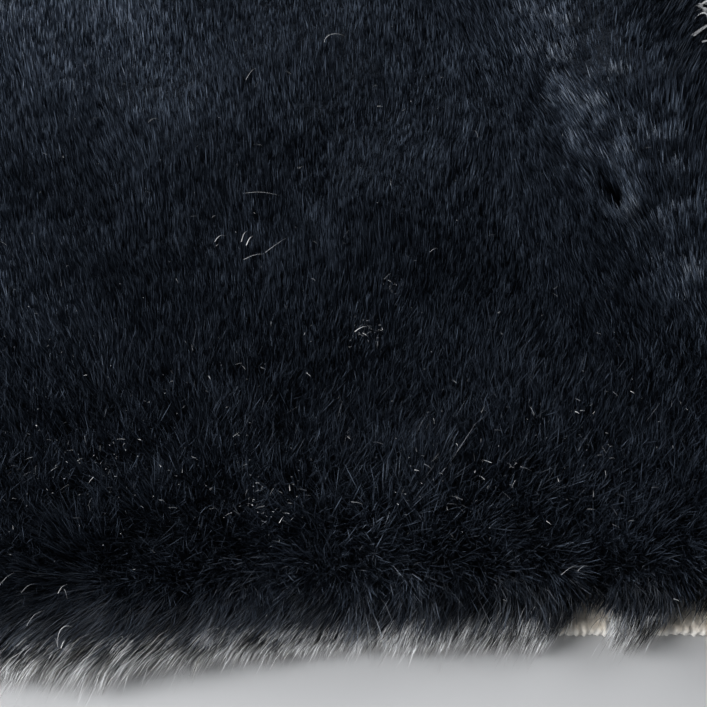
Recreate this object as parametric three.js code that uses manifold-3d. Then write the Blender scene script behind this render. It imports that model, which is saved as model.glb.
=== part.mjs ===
import * as THREE from "three";
import { mergeVertices } from "three/addons/utils/BufferGeometryUtils.js";
import Module from "manifold-3d";

// A small faux fur rug, lying on the floor: a knitted ground cloth that carries a deep pile.
// Millimetres, +Z up. X runs along the long side and the front edge is at -Y.
// The origin is on the underside of the cloth, at the middle of the rug.

// Driving dimensions of the two pieces.
const RUG_LENGTH = 600;
const RUG_DEPTH = 400;
const CORNER_RADIUS = 30;
const BACKING_THICKNESS = 3;
const PIECE_GAP = 0.3;
const PILE_HEIGHT = 14;
const PILE_RIM_HEIGHT = 6;
const PILE_CROWN = 24;
const PILE_INSET = 2.5;

// The grid: its lines lie close together at the rim, where the pile rounds over, and are
// evenly spaced between the rim's last line on one side and on the other.
const RIM_LINES = [0, PILE_INSET, 7, 14, 24, 38];
const FIELD_PITCH = 22;

// The front edge is cut a little unevenly: it bulges forward around one place.
const FRONT_BULGE = { atX: -70, halfWidth: 120, reach: 5, fadeDepth: 90 };

// Soft waves where the rug doesn't lie quite flat, each a ridge along a straight run.
const WAVES = [
  { fromX: 46, fromY: 60, toX: 84, toY: -122, halfWidth: 42, height: 8 },
  { fromX: -104, fromY: 10, toX: -98, toY: -118, halfWidth: 38, height: 5 },
];

// Lumps of the pile's surface: crossed waves, each with its wavelengths and phase.
const LUMPS = [
  { lengthX: 83, lengthY: 61, phase: 0.7, height: 0.9 },
  { lengthX: -57, lengthY: 97, phase: 2.1, height: 0.7 },
  { lengthX: 131, lengthY: -71, phase: 4.4, height: 0.8 },
];

// The locks that hang over the rim.
const LOCK_PITCH = 10;
const LOCK_REACH = 14;
const LOCK_DEPTH = 6;
const LOCK_ROOT_Z = 6.9;
const LOCK_TIP_Z = 1.4;
const LOCK_WIDTH = 4.6;
const LOCK_THICKNESS = 2.4;
const LOCK_SEED = 20;
// The way the pile lies: towards the front edge, and a little to the left.
const PILE_LAY = new THREE.Vector2(-0.38, -0.92);

const BACKING_CREAM = "#cdc1ae";
const PILE_BLACK = "#0e131b";

// A smooth hump: 1 at t = 0, falling to 0 with no slope at |t| = 1, and 0 beyond.
function hump(t) {
  return Math.abs(t) < 1 ? 0.5 + 0.5 * Math.cos(Math.PI * t) : 0;
}

// How high the cloth's underside is lifted off the floor at a point.
function lift(x, y) {
  const at = new THREE.Vector2(x, y);
  return Math.max(
    ...WAVES.map((wave) => {
      const from = new THREE.Vector2(wave.fromX, wave.fromY);
      const run = new THREE.Vector2(wave.toX, wave.toY).sub(from);
      const along = THREE.MathUtils.clamp(
        at.clone().sub(from).dot(run) / run.lengthSq(),
        0,
        1,
      );
      const nearest = from.addScaledVector(run, along);
      return wave.height * hump(at.distanceTo(nearest) / wave.halfWidth);
    }),
  );
}

function lumps(x, y) {
  return LUMPS.reduce((sum, { lengthX, lengthY, phase, height }) => {
    const turn = 2 * Math.PI * (x / lengthX + y / lengthY);
    return sum + height * Math.sin(turn + phase);
  }, 0);
}

// The grid's lines across one side of the given size, centred on 0.
function gridLines(size) {
  const half = size / 2;
  const fieldStart = RIM_LINES.at(-1) - half;
  const steps = Math.round((-2 * fieldStart) / FIELD_PITCH);
  const field = Array.from(
    { length: steps - 1 },
    (_, i) => fieldStart * (1 - (2 * (i + 1)) / steps),
  );
  return [
    ...RIM_LINES.map((inset) => inset - half),
    ...field,
    ...RIM_LINES.map((inset) => half - inset).reverse(),
  ];
}

// Turns a point of the plain rectangle into one of the rug: its square corner becomes a
// quarter circle, and the front edge gets its bulge.
function onRug(x, y) {
  const coreX = RUG_LENGTH / 2 - CORNER_RADIUS;
  const coreY = RUG_DEPTH / 2 - CORNER_RADIUS;
  const u = Math.max(0, Math.abs(x) - coreX) / CORNER_RADIUS;
  const v = Math.max(0, Math.abs(y) - coreY) / CORNER_RADIUS;
  const roundX = CORNER_RADIUS * (u * Math.sqrt(1 - (v * v) / 2) - u);
  const roundY = CORNER_RADIUS * (v * Math.sqrt(1 - (u * u) / 2) - v);
  const bulge =
    FRONT_BULGE.reach *
    hump((x - FRONT_BULGE.atX) / FRONT_BULGE.halfWidth) *
    hump(Math.min(1, (y + RUG_DEPTH / 2) / FRONT_BULGE.fadeDepth));
  return new THREE.Vector2(
    x + Math.sign(x) * roundX,
    y + Math.sign(y) * roundY - bulge,
  );
}

// A closed slab over a grid: bottomZ and topZ give its two faces from a point's place on the
// rug and its distances to the slab's nearest two sides.
function slab(linesX, linesY, bottomZ, topZ) {
  const columns = linesX.length;
  const rows = linesY.length;
  const positions = [];
  for (const face of [bottomZ, topZ]) {
    for (const y of linesY) {
      for (const x of linesX) {
        const p = onRug(x, y);
        const toSide = linesX.at(-1) - Math.abs(x);
        const toEnd = linesY.at(-1) - Math.abs(y);
        positions.push(p.x, p.y, face(p.x, p.y, toSide, toEnd));
      }
    }
  }
  const layer = columns * rows;
  const index = [];
  const quad = (a, b, c, d) => index.push(a, b, c, a, c, d);
  for (let j = 0; j < rows - 1; j++) {
    for (let i = 0; i < columns - 1; i++) {
      const a = j * columns + i;
      quad(a, a + columns, a + columns + 1, a + 1);
      quad(layer + a, layer + a + 1, layer + a + columns + 1, layer + a + columns);
    }
  }
  const rim = rimIndices(columns, rows);
  rim.forEach((a, k) => {
    const b = rim[(k + 1) % rim.length];
    quad(a, b, layer + b, layer + a);
  });
  const geometry = new THREE.BufferGeometry();
  geometry.setAttribute("position", new THREE.Float32BufferAttribute(positions, 3));
  geometry.setIndex(index);
  return geometry;
}

// The grid's outer points in order, anticlockwise seen from above.
function rimIndices(columns, rows) {
  const at = (i, j) => j * columns + i;
  const count = (n, make) => Array.from({ length: n - 1 }, (_, k) => make(k));
  return [
    ...count(columns, (k) => at(k, 0)),
    ...count(rows, (k) => at(columns - 1, k)),
    ...count(columns, (k) => at(columns - 1 - k, rows - 1)),
    ...count(rows, (k) => at(0, rows - 1 - k)),
  ];
}

// The pile's share of its full height at a distance inside the rim: a quarter ellipse.
function crown(inset) {
  const t = 1 - Math.min(1, inset / PILE_CROWN);
  return Math.sqrt(1 - t * t);
}

function pileBottom(x, y) {
  return lift(x, y) + BACKING_THICKNESS + PIECE_GAP;
}

function pileTop(x, y, toSide, toEnd) {
  const share = crown(toSide) * crown(toEnd);
  const full = PILE_HEIGHT - PILE_RIM_HEIGHT + lumps(x, y);
  return pileBottom(x, y) + PILE_RIM_HEIGHT + share * full;
}

// A repeatable run of numbers from 0 to 1.
function dice(seed) {
  let state = seed;
  return () => {
    state = (state * 16807) % 2147483647;
    return state / 2147483647;
  };
}

// One lock: a three-sided spike, rooted inside the pile, that leaves the rim level and droops
// to a point near the floor. Its ridge is on top.
function lock(root, way, reach, width, tipZ) {
  const side = new THREE.Vector3(way.y, -way.x, 0);
  const out = new THREE.Vector3(way.x, way.y, 0);
  const stations = [
    { along: -LOCK_DEPTH, z: LOCK_ROOT_Z, size: 1 },
    { along: 0.36 * reach, z: LOCK_ROOT_Z - 0.6, size: 0.78 },
    { along: 0.74 * reach, z: 0.4 * LOCK_ROOT_Z + 0.6 * tipZ, size: 0.4 },
  ];
  const positions = [];
  for (const { along, z, size } of stations) {
    const centre = root.clone().addScaledVector(out, along).setZ(z);
    const corners = [
      [-1, -0.5],
      [1, -0.5],
      [0, 1],
    ];
    for (const [across, up] of corners) {
      const corner = centre.clone().addScaledVector(side, across * size * width);
      positions.push(corner.x, corner.y, corner.z + up * size * LOCK_THICKNESS);
    }
  }
  const tip = root.clone().addScaledVector(out, reach).setZ(tipZ);
  positions.push(tip.x, tip.y, tip.z);
  const index = [0, 1, 2];
  for (let s = 0; s < stations.length - 1; s++) {
    for (let k = 0; k < 3; k++) {
      const a = 3 * s + k;
      const b = 3 * s + ((k + 1) % 3);
      index.push(a, a + 3, b, b, a + 3, b + 3);
    }
  }
  const last = 3 * (stations.length - 1);
  for (let k = 0; k < 3; k++) {
    index.push(last + k, last + 3, last + ((k + 1) % 3));
  }
  const geometry = new THREE.BufferGeometry();
  geometry.setAttribute("position", new THREE.Float32BufferAttribute(positions, 3));
  geometry.setIndex(index);
  return geometry;
}

// All the locks, spaced along the pile's rim with a little unevenness.
function rimLocks(linesX, linesY) {
  const grid = linesY.flatMap((y) => linesX.map((x) => onRug(x, y)));
  const rim = rimIndices(linesX.length, linesY.length).map((k) => grid[k]);
  const edge = new THREE.CurvePath();
  rim.forEach((p, k) => edge.add(new THREE.LineCurve(p, rim[(k + 1) % rim.length])));
  const count = Math.round(edge.getLength() / LOCK_PITCH);
  const roll = dice(LOCK_SEED);
  return Array.from({ length: count }, (_, k) => {
    const share = (k + 0.5 + 0.5 * (roll() - 0.5)) / count;
    const p = edge.getPoint(share);
    const run = edge.getPoint((share + 0.002) % 1).sub(edge.getPoint((share + 0.998) % 1));
    const outward = new THREE.Vector2(run.y, -run.x).normalize();
    const lean = outward.dot(PILE_LAY);
    const sway = new THREE.Vector2(roll() - 0.5, roll() - 0.5).multiplyScalar(0.5);
    const way = outward.addScaledVector(PILE_LAY, 0.42).add(sway).normalize();
    const reach = LOCK_REACH * (0.78 + 0.22 * lean + 0.5 * (roll() - 0.5));
    const width = LOCK_WIDTH * (0.7 + 0.5 * roll());
    const tipZ = LOCK_TIP_Z + 1.5 * roll();
    return lock(new THREE.Vector3(p.x, p.y, 0), way, reach, width, tipZ);
  });
}

const wasm = await Module();
wasm.setup();

function toSolid(geometry) {
  const merged = mergeVertices(geometry, 1e-4);
  return new wasm.Manifold(
    new wasm.Mesh({
      numProp: 3,
      vertProperties: merged.attributes.position.array,
      triVerts: new Uint32Array(merged.index.array),
    }),
  );
}

function toGeometry(solid) {
  const { vertProperties, triVerts } = solid.getMesh();
  const geometry = new THREE.BufferGeometry();
  geometry.setAttribute("position", new THREE.BufferAttribute(vertProperties, 3));
  geometry.setIndex(new THREE.BufferAttribute(triVerts, 1));
  return geometry;
}

function piece(name, geometry, color, roughness) {
  geometry.computeVertexNormals();
  const material = new THREE.MeshStandardMaterial({ color, roughness, metalness: 0 });
  const mesh = new THREE.Mesh(geometry, material);
  mesh.name = name;
  return mesh;
}

// The ground cloth: an even sheet over the waves.
function makeBacking(linesX, linesY) {
  const top = (x, y) => lift(x, y) + BACKING_THICKNESS;
  const geometry = slab(linesX, linesY, lift, top);
  return piece("backing", geometry, BACKING_CREAM, 0.95);
}

// The pile: a lumpy slab that keeps the cloth's grid, so that the two faces stay parallel,
// with the locks joined to its rim.
function makePile(linesX, linesY) {
  const body = toSolid(slab(linesX, linesY, pileBottom, pileTop));
  const whole = rimLocks(linesX, linesY).reduce(
    (solid, one) => solid.add(toSolid(one)),
    body,
  );
  return piece("pile", toGeometry(whole), PILE_BLACK, 0.85);
}

const clothX = gridLines(RUG_LENGTH);
const clothY = gridLines(RUG_DEPTH);

const rug = new THREE.Group();
rug.name = "faux_fur_rug";
rug.add(makeBacking(clothX, clothY));
rug.add(makePile(clothX.slice(1, -1), clothY.slice(1, -1)));

export default rug;
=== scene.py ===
"""The looks of a small faux fur rug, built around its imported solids.

The rug is a cream knitted ground cloth that carries a deep, near-black plush pile. The cloth is
a thin slab with a ribbed edge. The pile is a dark, dense under-fur with about half a million
fibres on it, drawn finer and closer together at the part that the photograph shows. Lengths
are in metres, except where a comment says mm.
"""

import math

import bpy
import numpy as np
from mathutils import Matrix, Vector


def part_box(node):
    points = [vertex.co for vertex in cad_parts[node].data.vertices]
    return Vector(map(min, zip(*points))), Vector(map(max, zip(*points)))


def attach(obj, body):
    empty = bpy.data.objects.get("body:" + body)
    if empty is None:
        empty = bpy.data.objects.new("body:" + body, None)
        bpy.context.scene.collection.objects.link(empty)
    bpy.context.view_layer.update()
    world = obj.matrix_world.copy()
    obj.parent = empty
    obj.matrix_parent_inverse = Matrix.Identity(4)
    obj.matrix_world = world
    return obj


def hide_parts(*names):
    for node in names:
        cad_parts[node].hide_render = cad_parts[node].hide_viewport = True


bl_info = {
    "name": "Faux Fur Rug",
    "version": (1, 0, 0),
    "blender": (4, 5, 0),
    "location": "View3D > Sidebar > Rug",
    "description": "Builds a plush rug: knitted ground cloth, under-fur, fibres and lint",
    "category": "Mesh",
}

MM = 0.001

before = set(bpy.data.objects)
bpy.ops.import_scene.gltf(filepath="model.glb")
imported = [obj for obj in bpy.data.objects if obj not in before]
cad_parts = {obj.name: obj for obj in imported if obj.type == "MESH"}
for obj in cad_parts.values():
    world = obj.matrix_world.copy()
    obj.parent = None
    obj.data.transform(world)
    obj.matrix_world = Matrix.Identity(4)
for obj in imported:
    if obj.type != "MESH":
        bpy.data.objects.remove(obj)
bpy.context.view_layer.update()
CLOTH_LOW, CLOTH_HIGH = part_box("backing")

# Sizes that the solids fix. The cloth's back edge is straight, so it gives half the depth, and
# the front edge passes it by the bulge.
RUG_LENGTH = CLOTH_HIGH[0] - CLOTH_LOW[0]
RUG_DEPTH = 2 * CLOTH_HIGH[1]
FRONT_REACH = -CLOTH_LOW[1] - CLOTH_HIGH[1]
CORNER_RADIUS = 30 * MM
CLOTH_THICKNESS = 3 * MM
PILE_HEIGHT = 14 * MM
PILE_INSET = 2.5 * MM
PILE_CROWN = 24 * MM

# The forward bulge of the front edge: its middle, half its width, and how deep it fades.
BULGE_X = -70 * MM
BULGE_HALF_WIDTH = 120 * MM
BULGE_FADE = 90 * MM

# Soft waves of the cloth: from x, y to x, y, half width and height.
WAVES = np.array(
    [
        (46, 60, 84, -122, 42, 8),
        (-104, 10, -98, -118, 38, 5),
    ]
) * MM

# Lumps of the pile: wavelength along x and y, phase in radians, and height.
LUMPS = (
    (83 * MM, 61 * MM, 0.7, 0.9 * MM),
    (-57 * MM, 97 * MM, 2.1, 0.7 * MM),
    (131 * MM, -71 * MM, 4.4, 0.8 * MM),
)

# The knit at the cloth's edge: how far the ribs slant with the way up the section, and how far
# they drift and over how many stitches. Then how far ribs, rows of loops and fine noise swell
# it, the pitch of the rows and the size of that noise, and the needle holes' depth, half width
# as a share of the rib's, and height.
RIB_SLANT, RIB_DRIFT, RIB_DRIFT_STITCHES = 0.6, 0.45, 4
RIB_SWELL, ROW_SWELL, ROUGH_SWELL = 0.1 * MM, 0.05 * MM, 0.26 * MM
ROW_PITCH, ROUGH_SIZE = 1.8 * MM, 0.7 * MM
ROUGH_SEED, DRIFT_SEED = 51, 52
HOLE_DEPTH, HOLE_HALF_WIDTH, HOLE_HEIGHT = 0.5 * MM, 0.3, 1.4 * MM

# The part of the rug that the photograph shows, in from the front edge: half its width at the
# front and at the back, its depth, and its fade.
SHOWN_FRONT_HALF = 77 * MM
SHOWN_BACK_HALF = 98 * MM
SHOWN_DEPTH = 196 * MM
SHOWN_FADE = 36 * MM

# Bare places at the front edge, where the ground cloth shows: middle and half width along x,
# how far in the first fibres and the under-fur start there, how far in the fibres are shorter,
# and the share of stray fibres that stand there all the same.
BARE_PLACES = ((49.5 * MM, 8 * MM), (71 * MM, 10 * MM))
BARE_DEPTH = 7.2 * MM
BARE_UNDERFUR_DEPTH = 11 * MM
BARE_FADE = 24 * MM
STRAY_SHARE = 0.03

# How far in from the cloth's edge the first fibres are rooted, away from the bare places.
ROOT_INSET = 1 * MM

# A dent where the pile has parted, darkened by painted shade: middle, half width, half length,
# turn in degrees, and how far it pushes the fibres' tips aside, in degrees.
DENT_X, DENT_Y = 66 * MM, -90 * MM
DENT_HALF_WIDTH, DENT_HALF_LENGTH = 3 * MM, 7 * MM
DENT_TURN = 14
DENT_PUSH = 45

# The line of the right wave's crest: where it crosses y = 0, and how far left it runs with y.
CREST_X, CREST_SLOPE = 56 * MM, 0.209

# The smoothed part along that crest: half its width, its middle and half length along y, and
# how far the fibres' tips lean to the left there, in degrees.
SHEEN_HALF_WIDTH = 26 * MM
SHEEN_Y, SHEEN_HALF_LENGTH = -70 * MM, 130 * MM
SHEEN_LEAN = 24

# Another place where they lean to the left: its middle and half size along x and y, and how far.
LEFT_X, LEFT_HALF_WIDTH = -85 * MM, 45 * MM
LEFT_Y, LEFT_HALF_LENGTH = -85 * MM, 110 * MM
LEFT_PATCH_LEAN = 15

# How their lean wanders along x and along y: degrees, size and seed of each noise.
WANDER_X = ((5, 31 * MM, 11), (6, 9 * MM, 12))
WANDER_Y = ((6, 26 * MM, 13), (6, 8 * MM, 14))

# How far the fibres' tips lean forward from upright, in degrees, by the way in from the front
# edge: they stand nearly upright on the rug and fall over towards its edge.
LEAN_DEPTHS = (0, 8 * MM, 15 * MM, 22 * MM, 34 * MM, 60 * MM, 120 * MM, 300 * MM)
LEAN_FORWARD = (44, 62, 48, 36, 22, 10, 5, 8)

# How far they lean to the left at that edge, by x, and how far in they do so.
LEFT_PLACES = (-45 * MM, 15 * MM)
LEFT_LEAN = (116, 102)
LEFT_DEPTH = 12 * MM

# How long the front rim's fibres are, as a share of the others there, by x.
OVERHANG_PLACES = (-110 * MM, -75 * MM, -55 * MM, -44 * MM, -24 * MM, 0, 16 * MM, 85 * MM, 130 * MM)
OVERHANG_LENGTHS = (0.85, 0.66, 0.70, 0.82, 0.66, 0.38, 0.52, 0.58, 0.85)

# Painted light and shade in the fibres' tones, how much lighter or darker they are drawn:
# painted shade by the way in from the front edge, a painted sheen along the crest of the right
# wave with painted shade past it, and patches of painted light and shade (x, y and radius in mm,
# and the shift), among them a painted glare at the back left and a painted shadow by the tuft.
PAINTED_SHADE_DEPTHS = (0, 8 * MM, 30 * MM, 80 * MM, 110 * MM, 150 * MM, 200 * MM)
PAINTED_SHADE_SHIFTS = (0.0, -0.6, -1.0, -1.4, -0.8, -0.2, -0.1)
PAST_CREST = (-30 * MM, -18 * MM, -4 * MM, 6 * MM, 20 * MM, 60 * MM, 120 * MM)
PAINTED_SHEEN_AND_SHADE = (0, 0.1, 1.9, 0.5, -1.7, -1.6, 0)
PAINTED_LIGHT_PATCHES = (
    (-76, -118, 46, 1.7),
    (-84, -20, 80, 1.5),
    (78, -126, 24, 0.4),
    (4, -182, 40, 0.3),
    (-62, -198, 36, -0.9),
    (38, -212, 34, -0.8),
    # a painted shadow beside the tuft
    (93, -30, 10, -2.6),
)
TONE_WANDER = ((0.35, 11 * MM, 17),)

# The fibres' tones: the painted shade of the dent and how far it lies before it, the spread of the
# single fibres' and what the rim adds to it, how much more the clumps of each size differ along
# the smoothed crest, a painted mottled sheen, how much the tones draw together towards the back,
# and how steeply the place on the fibres' map grows with the tone.
DENT_PAINTED_SHADE, DENT_SHADE = -2.5, 5 * MM
OWN_TONE, RIM_TONE = 0.45, 0.55
PAINTED_SHEEN_CONTRAST, SHEEN_CLUMP = 1.1 / MM, 1.8 * MM
BACK_SOFTNESS = 0.6
TONE_STEEPNESS = 1.7

# How much more the fibres are tousled where they fall over, by the way in from that edge: as
# a share of their shake on the rug, and in small whorls, in degrees, with their size and seeds.
CHAOS_DEPTHS = (0, 8 * MM, 24 * MM, 60 * MM, 90 * MM)
CHAOS_SHARES = (0.2, 1.1, 1.8, 1.1, 0)
TOUSLE_DEPTHS = (0, 6 * MM, 14 * MM, 50 * MM, 80 * MM)
TOUSLE = (12, 30, 44, 34, 0)
WHORL_SIZE, WHORL_SEED_X, WHORL_SEED_Y = 3 * MM, 15, 16

# The shake of a single fibre's lean, in degrees, and how much its length varies. How much
# shorter the fibres are about the bare places, in the dent and at the rim's other sides.
SHAKE, LENGTH_SPREAD = 11, 0.09
BARE_SHORTER, DENT_SHORTER, OTHER_RIM_LENGTH = 0.5, 0.7, 0.9

# Clumps of fibres whose tips draw together: size, seed, pull, further pull at the rim, sway in
# degrees, how much they vary in length, and how much of the fibres' tone they share. The pull
# grows with the way along the fibre to a power. The last two are shares of a clump's size: how
# far fibres stray into the next one, and how far its middle lies off its cell's.
CLUMPS = (
    (1.1 * MM, 31, 0.46, 0.30, 7, 0.10, 1.0),
    (3.4 * MM, 32, 0.28, 0.12, 6, 0.08, 0.5),
)
PULL_POWER = 1.3
CLUMP_STRAY, CLUMP_OFFSET = 0.28, 0.25

# The fibres: those of the fringe at the rim and of the shoulder behind it are drawn whole and
# sown thinner, the others only where they can be seen. Those that stand upright are shorter
# than those that fall over. At the sides and the back, where they don't lean forward besides,
# the rim pushes them further, and it is sown closer than the rest beyond the shown part.
RIM_PUSH, RIM_PUSH_BAND = 75, 14 * MM
RIM_PUSH_ELSEWHERE = 40
RIM_FAR_DENSITY = 2.0
FRINGE_BAND, FRINGE_SHARE = 6.5 * MM, 0.9
SHOULDER_BAND, SHOULDER_SHARE = 12 * MM, 0.7
GUARD_SHARE = 0.16
UPRIGHT_LENGTH, UPRIGHT_FROM = 0.85, 50 * MM
MOST_TRIANGLES = 190000

# Towards the back of the shown part they are sown thinner and drawn wider, by a power of the
# way there. Each one's width is this share of the usual one, and up to so much more.
BACK_THINNER = 0.6
BACK_WIDER, BACK_WIDER_POWER = 2.6, 1.5
WIDTH_LEAST, WIDTH_SPREAD = 0.75, 0.5

# How far their flat sides turn away from lying level.
ROLL = 0.8

# The long, thin ones among them: their share, how much longer they are, and their width.
LONG_SHARE = 0.03
FRINGE_LONGER, LONGER = 1.5, 1.22
LONG_WIDTH = 0.6

# The least height of a fibre over the floor, and how much more it can be, in mm.
FLOOR_GAP, FLOOR_GAP_SPREAD = 0.5, 1.2

# How high the fibres' tips stand about the rim, as a share of their height on the rug, by the
# way in from the rim.
CREST_DEPTHS = (-14 * MM, -8 * MM, 0, 8 * MM, 18 * MM)
CREST_SHARES = (0.25, 0.45, 0.75, 0.93, 1.0)

# How high the under-fur stands, as a share of the pile, by the way in from the front edge, and
# how its height wanders: height, size and seed of the noise.
UNDERFUR_DEPTHS = (30 * MM, 80 * MM, 150 * MM)
UNDERFUR_SHARES = (0.66, 0.82, 0.94)
UNDERFUR_WANDER = ((1 * MM, 11 * MM, 18),)

# Its gap over the cloth, its height at the rim as a share of that further in, how much lower it
# is about the dent and how far from its middle, and how far in it is moved back at the bare
# places.
UNDERFUR_GAP = 0.3 * MM
UNDERFUR_RIM_SHARE = 0.1
UNDERFUR_DENT, UNDERFUR_DENT_RADIUS = 0.8, 9 * MM
UNDERFUR_BARE_FADE = 20 * MM

# Loose threads on the pile: x, y and length in mm, turn from +x and bend in degrees, thickness
# in mm, and tone from dim to pale.
THREADS = (
    (-7.6, -29.5, 9.0, 24, -150, 0.36, 0.5),
    (-27.6, -86.3, 8.9, 1, -4, 0.2, 0.5),
    (-32.9, -102.9, 3.1, 36, -28, 0.2, 0.5),
    (-26.5, -103.6, 4.0, 70, -12, 0.18, 0.45),
    (-25.3, -104.8, 3.4, 62, -6, 0.22, 0.7),
    (-28.0, -45.5, 5.1, 61, 10, 0.14, 0.35),
    (-26.1, -109.1, 5.0, 12, 30, 0.16, 0.6),
    (-21.3, -107.8, 6.8, 40, 40, 0.12, 0.3),
    (-0.1, -131.8, 3.4, 23, 14, 0.2, 0.9),
    (-54.6, -206.6, 4.6, -140, 110, 0.14, 0.7),
    (-57.8, -209.6, 1.5, 115, 20, 0.13, 0.7),
    (-57.4, -209.8, 1.6, 50, 20, 0.13, 0.7),
    (-58.3, -201.0, 2.4, 40, 1, 0.12, 0.5),
    (-57.1, -199.9, 2.2, -66, -19, 0.12, 0.4),
    (-70.8, -199.5, 4.4, 40, 2, 0.09, 0.3),
    (-65.8, -200.5, 3.4, 25, -13, 0.09, 0.3),
    (-64.4, -206.5, 4.4, 35, -19, 0.09, 0.3),
    (41.0, -195.5, 4.0, 30, 9, 0.09, 0.4),
    (44.6, -194.6, 2.4, 22, -9, 0.09, 0.4),
    (17.5, -107.0, 2.6, 30, 30, 0.12, 0.4),
    (31.0, -67.0, 3.0, 120, 60, 0.14, 0.4),
    (-52.0, -61.0, 3.4, 15, -50, 0.14, 0.4),
    (89.0, -27.2, 11.0, 46, 6, 1.3, 0.35),
    (91.6, -28.8, 5.0, -6, -20, 1.3, 0.45),
)

# Patches of fine pale flecks, lint and in part painted glints: x, y and radius in mm, and their
# number.
FLECK_PATCHES = (
    (3.1, -132.0, 3.0, 60),
    (8.4, -118.9, 1.8, 20),
    (-19.0, -180.0, 10.0, 90),
    (18.0, -175.0, 14.0, 80),
    (45.0, -168.0, 16.0, 80),
    (-50.0, -172.0, 14.0, 70),
    (-70.0, -170.0, 14.0, 70),
    (-30.0, -150.0, 40.0, 130),
    (50.0, -150.0, 34.0, 80),
)

# The flecks' least length and thickness and how much more they can be, and how deep under the
# fibres' tips they can lie, anywhere on the rug and in the patches, in mm.
FLECK_LENGTH, FLECK_LENGTH_SPREAD = 0.25, 2.4
FLECK_THICKNESS, FLECK_THICKNESS_SPREAD = 0.05, 0.09
FLECK_SINK, PATCH_SINK = 1.2, 0.5

# A frayed pale tuft lying on the pile: x, y, spread, thread length and thickness in mm, number.
TUFT = (94.2, -14.5, 1.4, 5.0, 1.7, 14)


# Fields over the rug


def hump(t):
    """A smooth hump: half of one plus the cosine, 1 at t = 0 and 0 from |t| = 1 on."""
    return 0.5 + 0.5 * np.cos(np.pi * np.clip(np.abs(t), 0, 1))


def lift(x, y):
    """How high the cloth lies off the floor: the highest of the waves, each a hump of the
    distance to its own straight line."""
    high = np.zeros(np.shape(x))
    for x0, y0, x1, y1, half_width, height in WAVES:
        run_x, run_y = x1 - x0, y1 - y0
        along = ((x - x0) * run_x + (y - y0) * run_y) / (run_x**2 + run_y**2)
        along = np.clip(along, 0, 1)
        away = np.hypot(x - x0 - along * run_x, y - y0 - along * run_y)
        high = np.maximum(high, height * hump(away / half_width))
    return high


def slope(x, y):
    """The slope of lift along x and along y, from points 1 mm to either side."""
    step = 1 * MM
    along_x = (lift(x + step, y) - lift(x - step, y)) / (2 * step)
    along_y = (lift(x, y + step) - lift(x, y - step)) / (2 * step)
    return along_x, along_y


def lumps(x, y):
    """The pile's lumps: a sum of sine waves that cross one another."""
    total = np.zeros(np.shape(x))
    for length_x, length_y, phase, height in LUMPS:
        total += height * np.sin(2 * np.pi * (x / length_x + y / length_y) + phase)
    return total


def round_corners(x, y):
    """Turns the square corners of the plain rectangle into quarter circles: each corner square
    of unit coordinates u, v maps to u * sqrt(1 - v^2 / 2), v * sqrt(1 - u^2 / 2)."""
    u = np.clip((np.abs(x) - RUG_LENGTH / 2) / CORNER_RADIUS + 1, 0, None)
    v = np.clip((np.abs(y) - RUG_DEPTH / 2) / CORNER_RADIUS + 1, 0, None)
    round_x = CORNER_RADIUS * (u * np.sqrt(1 - v * v / 2) - u)
    round_y = CORNER_RADIUS * (v * np.sqrt(1 - u * u / 2) - v)
    return x + np.sign(x) * round_x, y + np.sign(y) * round_y


def bulge(x, y):
    """How far the front edge's bulge moves a point forward."""
    across = hump((x - BULGE_X) / BULGE_HALF_WIDTH)
    return FRONT_REACH * across * hump((y + RUG_DEPTH / 2) / BULGE_FADE)


def rim_distance(x, y):
    """The distance inside the rounded rectangle's edge, and the unit way out to that edge."""
    core_x = np.abs(x) - (RUG_LENGTH / 2 - CORNER_RADIUS)
    core_y = np.abs(y) - (RUG_DEPTH / 2 - CORNER_RADIUS)
    past_x, past_y = np.maximum(core_x, 0), np.maximum(core_y, 0)
    past = np.hypot(past_x, past_y)
    inside = np.minimum(np.maximum(core_x, core_y), 0)
    corner = (core_x > 0) & (core_y > 0)
    nearest_x = core_x >= core_y
    safe = np.maximum(past, 1e-9)
    way_x = np.where(corner, past_x / safe, nearest_x) * np.sign(x)
    way_y = np.where(corner, past_y / safe, ~nearest_x) * np.sign(y)
    return CORNER_RADIUS - past - inside, way_x, way_y


def noise(x, y, size, seed):
    """Smooth random values from -1 to 1: random numbers at the points of a square lattice of
    the given size, blended between them by a smooth step."""
    table = np.random.default_rng(seed).uniform(-1, 1, (256, 256))
    u, v = x / size, y / size
    cell_u, cell_v = np.floor(u).astype(int), np.floor(v).astype(int)
    share_u, share_v = u - cell_u, v - cell_v
    share_u = share_u * share_u * (3 - 2 * share_u)
    share_v = share_v * share_v * (3 - 2 * share_v)
    near = table[cell_u % 256, cell_v % 256] * (1 - share_u)
    near += table[(cell_u + 1) % 256, cell_v % 256] * share_u
    far = table[cell_u % 256, (cell_v + 1) % 256] * (1 - share_u)
    far += table[(cell_u + 1) % 256, (cell_v + 1) % 256] * share_u
    return near * (1 - share_v) + far * share_v


def wander(x, y, rows):
    """The sum of noises, each with its own strength, size and seed."""
    return sum(strength * noise(x, y, size, seed) for strength, size, seed in rows)


def shown(x, y):
    """1 over the photographed part of the rug, falling smoothly to 0 beyond it. That part is a
    trapezoid, because the view widens towards the back."""
    depth = y + RUG_DEPTH / 2
    half = SHOWN_FRONT_HALF + (SHOWN_BACK_HALF - SHOWN_FRONT_HALF) * depth / SHOWN_DEPTH
    past_x = np.maximum(np.abs(x) - half, 0)
    past_y = np.maximum(depth - SHOWN_DEPTH, 0)
    return hump(np.hypot(past_x, past_y) / SHOWN_FADE)


def bare(x):
    """1 along the bare places of the front edge, falling smoothly to 0 at their ends."""
    share = np.zeros(np.shape(x))
    for middle, half_width in BARE_PLACES:
        share = np.maximum(share, np.clip(1.6 * hump((x - middle) / half_width), 0, 1))
    return share


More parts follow.
